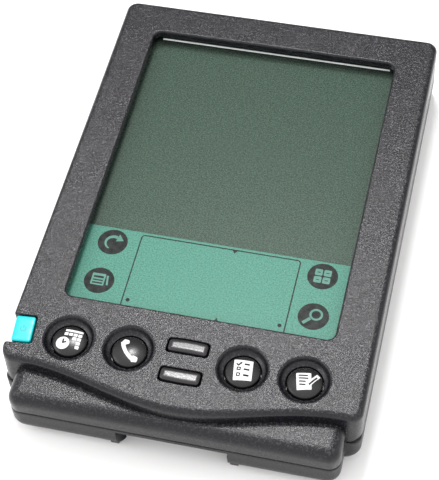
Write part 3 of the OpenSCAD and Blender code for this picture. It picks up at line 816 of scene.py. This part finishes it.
def stroke(points, widths):
    """Outline of a pen line of changing width."""
    ws = widths if isinstance(widths, (list, tuple)) else [widths] * len(points)
    left, right = [], []
    for i, (x, y) in enumerate(points):
        a, b = points[max(i - 1, 0)], points[min(i + 1, len(points) - 1)]
        dx, dy = unit(b[0] - a[0], b[1] - a[1])
        left.append((x - dy * ws[i] / 2, y + dx * ws[i] / 2))
        right.append((x + dy * ws[i] / 2, y - dx * ws[i] / 2))
    return right + left[::-1]


def arc(cx, cy, r, a0, a1, n=20):
    return [(cx + r * math.cos(math.radians(a0 + (a1 - a0) * i / n)),
             cy + r * math.sin(math.radians(a0 + (a1 - a0) * i / n)))
            for i in range(n + 1)]


def shifted(loops, x, y, k=1.0):
    return [[(px * k + x, py * k + y) for px, py in loop] for loop in loops]


prints = Shape()


def sheet(x, y):
    return SHEET_TOP


frame_line = [(-18.7, -32.4), (-18.7, -11.7), *arc(-17.9, -11.7, 0.8, 180, 90, 6),
              *arc(18.5, -11.7, 0.8, 90, 0, 6), (19.3, -32.4)]
mark(prints, [stroke(frame_line, 0.3)], sheet, 0.012, 9)
for x, y in ((-17.4, -29.2), (18.0, -29.1)):
    mark(prints, [circle(x, y, 0.48, 20)], sheet, 0.012, 9)
mark(prints, [[(3.1, -11.0), (3.7, -11.9), (4.3, -11.0)]], sheet, 0.012, 9)
mark(prints, [[(3.1, -31.0), (4.3, -31.0), (3.7, -29.9)]], sheet, 0.012, 9)
for x, y in ((-25.1, -14.2), (-25.3, -25.3), (25.0, -14.15), (25.0, -25.25)):
    mark(prints, [circle(x, y, 3.55, 56)], sheet, 0.012, 9)
prints.make("printed_lines", "root", INK, slot="writing_print")

signs = Shape()
sweep = arc(0.1, -0.2, 1.75, 250, 60, 22)
signs_at = [
    (-25.1, -14.2, [[stroke(sweep, [0.35 + 0.5 * i / 22 for i in range(23)])],
                    [[(0.7, 0.3), (2.5, 0.75), (1.15, 2.4)]]]),
    (-25.3, -25.3, [[rect(-1.9, -1.3, 1.3, 1.9, 0.25), rect(-1.5, 0.7, 0.9, 1.25),
                     rect(-1.5, -0.1, 0.9, 0.25),
                     rect(-1.5, -0.9, 0.9, -0.5)], [stroke([(1.7, 1.6), (2.1, -1.0)], 0.45)]]),
    (25.0, -14.15, [[rect(-1.9 + 2.05 * i, -1.9 + 2.05 * j, -0.15 + 2.05 * i, -0.15 + 2.05 * j, 0.3),
                     rect(-1.4 + 2.05 * i, -1.14 + 2.05 * j, -0.65 + 2.05 * i, -0.92 + 2.05 * j)] for i in (0,
                             1) for j in (0, 1)]),
    (25.0, -25.25, [[circle(0.55, 0.55, 1.55, 40), circle(0.55, 0.55, 1.05, 32)],
                    [stroke([(-0.6, -0.6), (-2.1, -2.1)], 0.75)]]),
]
for x, y, groups in signs_at:
    for loops in groups:
        mark(signs, shifted(loops, x, y), lambda px, py: PRINT_TOP, 0.012, 9)
signs.make("printed_signs", "root", TEAL_INK, slot="writing_print")


# ---------------------------------------------------------------- keys
DOME_RISE = 0.7
DOME = (CAP_R ** 2 + DOME_RISE ** 2) / (2 * DOME_RISE)


def page(points, r=0.15):
    return rounded([(x, y, r) for x, y in points])


def cell_grid():
    out = []
    for i in range(4):
        for j in range(4):
            x, y = -1.35 + 0.98 * i, 0.95 - 0.92 * j
            if math.hypot(x + 0.4 + 0.9, y + 0.35 + 1.0) > 2.0:
                out.append([rect(x, y, x + 0.8, y + 0.72, 0.08)])
    return out


handset = [(-1.55, 1.75), (-1.35, 0.9), (-0.85, 0.0), (-0.2, -0.8), (0.6, -1.45), (1.35, -1.8)]
KEYS = (
    ("calendar", 0, [[rect(-1.35, 1.95, 2.4, 2.5, 0.12)], *cell_grid(), [circle(-1.15, -0.95, 1.42, 40)]],
     [[stroke([(-1.15, -1.0), (-1.15, 0.0)], 0.34)], [stroke([(-1.2, -0.95), (-0.45, -0.6)], 0.34)]]),
    ("phone", 1, [[stroke(handset, [1.0, 0.8, 0.72, 0.72, 0.8, 1.0])],
                  [page([(-1.5, 2.5), (-2.0, 1.4), (-1.1, 1.1), (-0.25, 1.55), (-0.45, 2.3)], 0.3)],
                  [page([(1.1, -0.95), (0.75, -1.7), (1.0, -2.4), (2.1, -2.2), (2.15, -1.2)], 0.3)]], []),
    ("list", 2, [[page([(-2.0, 2.15), (1.55, 2.35), (2.0, -1.75), (-1.35, -2.2)])]],
     [[stroke([(-1.35, 1.3), (-1.0, 0.95), (-0.45, 1.7)], 0.34)], [stroke([(0.1, 1.35), (1.05, 1.4)], 0.36)],
      [rect(-1.15, -0.1, -0.4, 0.6), rect(-0.95, 0.1, -0.6, 0.4)], [stroke([(0.15, 0.25), (1.2, 0.3)], 0.36)],
      [rect(-1.0, -1.3, -0.3, -0.6), rect(-0.82, -1.12, -0.48, -0.78)],
      [stroke([(0.3, -0.95), (1.3, -0.9)], 0.36)]]),
    ("note", 3, [[page([(-2.1, 1.7), (0.9, 2.2), (1.7, -1.5), (-1.2, -2.2)])],
                 [stroke([(0.75, -0.7), (2.5, 1.95)], 0.95)]],
     [[stroke([(-1.5, 1.2), (0.4, 1.45)], 0.3)], [stroke([(-1.35, 0.55), (0.6, 0.8)], 0.3)],
      [stroke([(-1.15, -0.15), (0.2, 0.0)], 0.3)],
      [stroke([(-0.95, -0.85), (0.3, -0.7)], 0.3)], [stroke([(0.95, -0.55), (2.25, 1.4)], 0.34)]]),
)
for name, i, white, dark in KEYS:
    cx = ROUND_X[i]
    body = name + "_key"
    cap = Shape()
    profile = [(5.0, 12.4), (5.2, 12.5), (5.2, 13.1), (5.1, FLANGE_TOP), (CAP_R, FLANGE_TOP), (CAP_R, 15.45),
               (3.91, 15.62), (3.82, 15.76), (3.68, 15.86)]
    profile += [(r, CAP_TOP - DOME + math.sqrt(DOME ** 2 - r * r)) for r in (3.5, 3.2, 2.8, 2.3, 1.7, 1.0,
            0.3)]
    cap.lathe(profile, 64, (cx, ROUND_Y, 0))
    cap.make(name + "_cap", body, KEY, name + "_button", "button_plastic")

    def dome(x, y, cx=cx):
        return CAP_TOP - DOME + math.sqrt(max(0.0, DOME ** 2 - (x - cx) ** 2 - (y - ROUND_Y) ** 2))

    sign = Shape()
    size = (1.08, 1.12, 1.2, 1.08)[i]
    for loops in white:
        mark(sign, shifted(loops, cx, ROUND_Y, size), dome, 0.03)
    sign.slot = 1
    for loops in dark:
        mark(sign, shifted(loops, cx, ROUND_Y, size), dome, 0.07)
    sign.make(name + "_sign", body, [WHITE, INK], slot="button_plastic")

for i, name in enumerate(("scroll_up", "scroll_down")):
    bar = Shape()
    base = rect(-5.25, SCROLL_Y[i] - 2.35, 5.25, SCROLL_Y[i] + 2.35, 0.6)
    bar.prism(base, FLANGE_LOW, FLANGE_TOP)
    plan = scroll_plan(i, 0.0)
    rings = [bar.ring(plan, 12.9), bar.ring(plan, 17.1)]
    for inset, rise in ((0.03, 0.17), (0.08, 0.3), (0.16, 0.42), (0.28, 0.5), (0.45, 0.57), (0.7, 0.62),
                        (1.1, 0.66)):
        ring = scroll_plan(i, -inset, 0.2)
        rings.append(bar.ring(ring, [17.1 + rise - 0.1 * (p[0] / 4.45) ** 2 * rise / 0.66 for p in ring]))
    bar.loft(rings)
    bar.face(rings[0][::-1])
    bar.face(rings[-1])
    bar.make(name + "_bar", name + "_key", SCROLL, name + "_button", "button_plastic")

power = Shape()
plan = rect(-2.25, -3.3, 2.25, 3.3, 0.6)
rings = [power.ring(turned(plan, POWER_AT, POWER_TURN), 12.4)]
for inset, z in ((0, 16.95), (0.03, 17.12), (0.1, 17.24), (0.22, 17.32), (0.42, 17.36), (0.9, 17.39),
                 (1.5, 17.4)):
    rings.append(power.ring(turned(rect(inset - 2.25, inset - 3.3, 2.25 - inset, 3.3 - inset,
                                        max(0.06, 0.6 - inset)), POWER_AT, POWER_TURN), z))
power.loft(rings)
power.face(rings[0][::-1])
power.face(rings[-1])
tab = turned(rect(1.2, -2.0, 3.85, 2.0, 0.2), POWER_AT, POWER_TURN)
power.prism(tab, FLANGE_LOW + 0.05, FLANGE_TOP)
power.make("power_cap", "power_key", CYAN, "power_button", "cyan_plastic")
power_mark = Shape()
for loops in ([stroke(arc(0, -0.1, 0.62, 130, 410, 24), 0.2)], [stroke([(0, 0.15), (0, 0.85)], 0.2)]):
    mark(power_mark, [turned(loop, POWER_AT, POWER_TURN) for loop in loops], lambda x, y: 17.395, 0.012, 9)
power_mark.make("power_sign", "power_key", CYAN_DARK, slot="cyan_plastic")

dial = Shape()
teeth = [(6.46 - 0.2 * (0.5 - 0.5 * math.cos(2 * math.pi * i / 4)),
          2 * math.pi * i / 240) for i in range(240)]
rings = []
for inset, z in ((0.35, 7.3), (0.0, 7.55), (0.0, 9.25), (0.35, 9.5)):
    rings.append(dial.ring([(DIAL[0] + (r - inset) * math.cos(a), DIAL[1] + (r - inset) * math.sin(a)) for r,
                            a in teeth], z))
dial.loft(rings)
eye = circle(*DIAL, 1.24, 32)
dial.loft([dial.ring(eye, 9.5), dial.ring(eye, 7.3)])
for k, z in ((0, 7.3), (3, 9.5)):
    dial.fill([[dial.v[i][:2] for i in rings[k]], circle(*DIAL, 4.8, 48)], z, up=k == 3)
    groove = z + (0.25 if k == 0 else -0.25)
    dial.loft([dial.ring(circle(*DIAL, r, 48), h) for r, h in ((4.8, z), (4.6, groove), (2.6, groove),
                                                               (2.4, z))])
    dial.fill([circle(*DIAL, 2.4, 48), eye], z, up=k == 3)
dial.make("contrast_wheel", "dial", KEY, "contrast_dial", "button_plastic")


# ---------------------------------------------------------------- doors, screws, stylus
def plate(shape, outline, depth, grooves, r=0.22, cut=0.35):
    """A plate whose outer side looks down, with shallow grooves."""
    faces = [rim(shape, outline, -depth, 0.0, r, -1, 4)]
    for g in grooves:
        faces.append(rim(shape, g, -cut, 0.0, 0.1, 1, 3))
        shape.fill([g], -cut)
    shape.fill(faces, 0.0)
    shape.fill([outline], -depth, up=False)


def down(x, y, z):
    return x, y, -z


for name, box, first, way in (("battery_door", (-27.5, -37.8, 27.5, -11.4), -14.4, -1),
                              ("memory_door", (-24, 10, 24, 52), 12.3, 1)):
    lid = Shape()
    plate(lid, rect(*box, 1.0), 1.2, [rect(-6 + 0.5 * k, first + way * 1.6 * k - 0.35, 6 - 0.5 * k,
                                           first + way * 1.6 * k + 0.35, 0.3)
                                      for k in range(5)])
    lid.make(name + "_lid", "battery_lid" if name[0] == "b" else "memory_lid", BACK, name, "case_plastic",
             move=down)


def screw(shape, x, y, z, height, head_r, shaft_r, tip):
    """Pan-head screw whose head looks down."""
    cross = [(x + a, y + b) for a, b in ((1, .28), (.28, .28), (.28, 1), (-.28, 1), (-.28, .28), (-1, .28),
                                         (-1, -.28),
                                         (-.28, -.28), (-.28, -1), (.28, -1), (.28, -.28), (1, -.28))]
    outer = rim(shape, circle(x, y, head_r, 32), -(z + height), -z, 0.45, -1, 5)
    inner = rim(shape, cross, -(z + 0.8), -z, 0.05, 1, 1)
    shape.fill([outer, inner], -z)
    shape.fill([cross], -(z + 0.8))
    neck = circle(x, y, shaft_r, 24)
    shape.fill([circle(x, y, head_r, 32), neck], -(z + height), up=False)
    rings, h = [shape.ring(neck, -(z + height))], z + height
    while h + 0.4 < tip:
        rings += [shape.ring(circle(x, y, shaft_r, 24), -(h + 0.15)),
                  shape.ring(circle(x, y, shaft_r - 0.12, 24), -(h + 0.3))]
        h += 0.4
    rings.append(shape.ring(circle(x, y, shaft_r - 0.3, 24), -tip))
    shape.loft(rings)
    shape.face(rings[-1])


fixings = Shape()
for x, y in SCREWS:
    screw(fixings, x, y, 1.2, 1.8, 1.9, 1.0, 13.1)
fixings.make("case_screw_set", "root", STEEL, "case_screws", "steel", move=down)
fixings = Shape()
for x in (-26, 26):
    for y in (-4.5, 46):
        screw(fixings, x, y, 6.8, 1.0, 1.8, 0.9, 10.05)
fixings.make("board_screw_set", "root", STEEL, "board_screws", "steel", move=down)

ALONG_Y = Matrix(((1, 0, 0), (0, 0, 1), (0, 1, 0)))
ALONG_X = Matrix(((0, 0, 1), (1, 0, 0), (0, 1, 0)))
AGAINST_X = Matrix(((0, 0, -1), (1, 0, 0), (0, 1, 0)))
pen = Shape()
profile = [(2.28, -31.5), (2.28, -30.6), (2.05, -30.3), (2.05, -29.9), (2.3, -29.6), (2.3, 44)]
for k in range(6):
    profile += [(2.3, 45 + 1.5 * k), (2.12, 45.25 + 1.5 * k), (2.12, 45.65 + 1.5 * k), (2.3, 45.9 + 1.5 * k)]
profile += [(2.3, 57.2), (2.2, 58.0), (1.95, 58.8), (1.6, 59.2), (1.0, 59.4), (0.2, 59.4)]
pen.lathe(profile, 40, (STYLUS_X, 0, STYLUS_Z), ALONG_Y)
pen.make("stylus_body", "stylus", KEY, "stylus_barrel", "button_plastic")
pen = Shape()
pen.lathe([(0.15, -40.2), (0.32, -40.1), (0.42, -39.8), (0.5, -39.2), (0.8, -38.2), (1.35, -36), (1.85, -34),
           (2.15, -32.4), (2.27, -31.5)],
          32, (STYLUS_X, 0, STYLUS_Z), ALONG_Y)
pen.make("stylus_point", "stylus", TIP, "stylus_tip", "stylus_tip_plastic")


# ---------------------------------------------------------------- power and port parts
for name, y, way in (("battery_upper", -19.0, 1), ("battery_lower", -30.2, -1)):
    aaa = Shape()
    at, turn = (0, y, 6.6), ALONG_X if way > 0 else AGAINST_X
    aaa.lathe([(4.6, -21.6), (4.95, -21.75), (5.15, -21.6), (5.25, -21.3), (5.25, 12.6)], 48, at, turn)
    aaa.slot = 1
    aaa.lathe([(5.25, 12.6), (5.25, 20.2), (5.15, 20.6), (4.9, 20.75), (4.6, 20.6)], 48, at, turn)
    aaa.slot = 2
    aaa.lathe([(0.3, -22.25), (3.0, -22.2), (4.0, -22.0), (4.75, -21.7), (4.75, -21.2)], 48, at, turn)
    aaa.lathe([(4.75, 20.3), (4.75, 20.9), (4.3, 21.25), (1.95, 21.35), (1.9, 22.1), (1.75, 22.25),
               (0.3, 22.25)], 48, at, turn)
    aaa.make(name + "_cell", "root", [CELL, CELL_BAND, BRIGHT], name, "battery_sleeve")

wires, plates = Shape(), Shape()
for s in (-1, 1):
    y = -24.6 - s * 5.6
    turn = AGAINST_X if s > 0 else ALONG_X
    wires.lathe([(4.2, 0.0), (4.4, 0.15), (4.4, 0.4), (4.2, 0.5)], 40, (s * 26.2, y, 6.6), turn)
    coil = []
    for k in range(97):
        a, t = 2 * math.pi * k / 24, k / 96
        r, h = 3.5 - 1.6 * t, 0.65 + 2.9 * t
        coil.append((s * (26.2 - h), y + r * math.cos(a), 6.6 + r * math.sin(a)))
    wires.coil(coil, 0.26)
    y = -24.6 + s * 5.6
    plates.lathe([(4.2, 0.0), (4.4, 0.15), (4.4, 0.35), (4.2, 0.5), (2.4, 0.5), (1.9, 0.7), (1.75, 3.2),
                  (1.5, 3.75), (0.3, 3.9)], 40,
                 (s * 26.2, y, 6.6), turn)
wires.make("contact_coils", "root", BRIGHT, "battery_springs", "bright_metal")
plates.make("contact_plates", "root", BRIGHT, "battery_plates", "bright_metal")

shutter = Shape()
shutter.block((-10.4, -52.8, 1.9), (10.4, -51.7, 6.8), 0.18)
shutter.block((-6, -53.65, 2.4), (6, -52.75, 3.0), 0.14)
for k in range(3):
    shutter.block((-8.5, -52.86, 4.0 + 0.8 * k), (8.5, -52.7, 4.3 + 0.8 * k), 0.05)
shutter.make("port_shutter", "port_lid", BACK, "port_door", "case_plastic")
return_wire = Shape()
return_wire.coil([(14.2 + 0.66 * math.cos(k * math.pi / 8), -52.25 + 0.66 * math.sin(k * math.pi / 8),
                   2.25 + 5.2 * k / 160)
                  for k in range(161)], 0.12, 6)
return_wire.make("port_coil", "root", BRIGHT, "port_spring", "bright_metal")

card = Shape()
card.block((-19.6, 14, 4.5), (19.6, 45.8, 5.7), 0.08)
card.slot = 1
for x in (-11, 3):
    card.block((x, 24, 3.4), (x + 8, 34, 4.52), 0.15)
card.slot = 2
for x in (-11, 3):
    for k in range(14):
        px = x + 0.5 + k * 0.52
        for y0, y1 in ((23.1, 24.1), (33.9, 34.9)):
            card.block((px, y0, 4.3), (px + 0.26, y1, 4.52), 0.03)
for k in range(6):
    card.block((-16.5, 18 + 3.2 * k, 4.1), (-15.3, 20 + 3.2 * k, 4.52), 0.06)
card.slot = 3
for k in range(24):
    card.block((-18.4 + 1.56 * k, 42.4, 4.44), (-17.5 + 1.56 * k, 45.6, 4.52), 0.02)
card.make("card_assembly", "root", [BOARD, CHIP, STEEL, GOLD], "memory_card", "circuit_board")

small = Shape()
for k in range(11):
    small.block((20.4, 13.2 + 2.9 * k, 7.3), (21.6, 15.1 + 2.9 * k, 7.82), 0.08)
    small.block((-21.7, 13.2 + 2.9 * k, 7.1), (-20.5, 14.9 + 2.9 * k, 7.82), 0.08)
small.slot = 1
for k in range(16):
    for x0, x1 in ((-19.8, -18.95), (-5.05, -4.2)):
        small.block((x0, 1.4 + 0.46 * k, 7.5), (x1, 1.63 + 0.46 * k, 7.82), 0.03)
small.make("board_parts", "root", [CREAM, STEEL], slot="circuit_board")
pins = Shape()
for k in range(10):
    x = (k - 4.5) * 1.9
    pins.block((x - 0.4, -51.24, 3.4), (x + 0.4, -50.4, 5.6), 0.1)
pins.make("port_contacts", "root", GOLD, slot="bright_metal")

# the CAD pieces that keep their shape: welded, cleaned and given small worn edges
KEPT = {"screen_gasket": FOAM, "touch_panel": CLEAR, "lcd_panel": LCD, "lcd_frame": STEEL, "lcd_flex": FLEX,
        "main_board": BOARD,
        "processor": CHIP, "clock_crystal": BRIGHT, "backup_capacitor": SLEEVE, "speaker": BRASS,
        "card_socket": CREAM,
        "contrast_pot": STEEL, "key_mat": RUBBER, "button_board": BOARD, "button_flex": FLEX,
        "reset_button": CREAM,
        "serial_connector": CHIP}
for name, look in KEPT.items():
    obj = nodes[name]
    obj.data.materials.clear()
    obj.data.materials.append(look)
    for p in obj.data.polygons:
        p.material_index = 0
    if name in ("touch_panel", "lcd_panel", "lcd_flex", "button_flex"):
        continue
    obj.modifiers.new("weld", "WELD").merge_threshold = 1e-6
    flat = obj.modifiers.new("flat", "DECIMATE")
    flat.decimate_type, flat.angle_limit = "DISSOLVE", math.radians(1)
    edge = obj.modifiers.new("edge", "BEVEL")
    edge.width, edge.segments, edge.limit_method, edge.angle_limit = 0.00012, 2, "ANGLE", math.radians(40)
    edge.harden_normals = True

# ---------------------------------------------------------------- floor, light, camera
def stage_and_light():
    floor = bpy.data.meshes.new("floor")
    floor.from_pydata([(-4, -4, 0), (4, -4, 0), (4, 4, 0), (-4, 4, 0)], [], [(0, 1, 2, 3)])
    k = Look("pale_floor", (0.93, 0.93, 0.93), 0.7)
    k.color(k.mix(k.span(k.noise(9, 3), 0.3, 0.7, 0, 1), (0.96, 0.96, 0.96), (0.98, 0.98, 0.98)))
    floor.materials.append(k.mat)
    obj = bpy.data.objects.new("floor", floor)
    obj.location.z = -0.0001
    bpy.context.scene.collection.objects.link(obj)
    world = bpy.data.worlds.new("studio")
    world.use_nodes = True
    world.node_tree.nodes["Background"].inputs[0].default_value = (1.0, 0.99, 0.985, 1)
    tree = world.node_tree
    way, part, fade = (tree.nodes.new("ShaderNode" + kind) for kind in ("TexCoord", "SeparateXYZ",
            "MapRange"))
    tree.links.new(way.outputs["Generated"], part.inputs[0])
    tree.links.new(part.outputs[1], fade.inputs[0])
    for i, value in enumerate((0.40, 0.72, 1.4, 0.3)):
        fade.inputs[i + 1].default_value = value
    tree.links.new(fade.outputs[0], tree.nodes["Background"].inputs[1])
    bpy.context.scene.world = world
    for name, at, aim, size, power in (
        ("key_box", (-0.08, 0.30, 0.73), (0.0, -0.04, 0.0), (0.15, 0.12), 3.8),
        ("side_fill", (-0.9, -0.2, 0.8), (0, 0, 0), (0.6, 0.6), 2.5),
    ):
        light = bpy.data.lights.new(name, "AREA")
        light.shape, (light.size, light.size_y), light.energy = "RECTANGLE", size, power
        lamp = bpy.data.objects.new(name, light)
        lamp.location = at
        lamp.rotation_euler = (Vector(aim) - Vector(at)).to_track_quat("-Z", "Y").to_euler()
        bpy.context.scene.collection.objects.link(lamp)


def camera():
    cam = bpy.data.cameras.new("camera")
    cam.lens, cam.sensor_width = 112.11, 36.0
    cam.clip_start, cam.clip_end = 0.01, 20
    obj = bpy.data.objects.new("camera", cam)
    back_dir = Vector((0.17007, -0.55785, 0.81233)).normalized()
    right = Vector((0.97261, 0.22757, -0.04735)).normalized()
    up = back_dir.cross(right)
    obj.matrix_world = Matrix(((right.x, up.x, back_dir.x, 0.058965), (right.y, up.y, back_dir.y, -0.204077),
                               (right.z, up.z, back_dir.z, 0.298129), (0, 0, 0, 1)))
    bpy.context.scene.collection.objects.link(obj)
    bpy.context.scene.camera = obj


stage_and_light()
camera()
scene = bpy.context.scene
scene.view_settings.view_transform = "Standard"
scene.view_settings.look = "None"
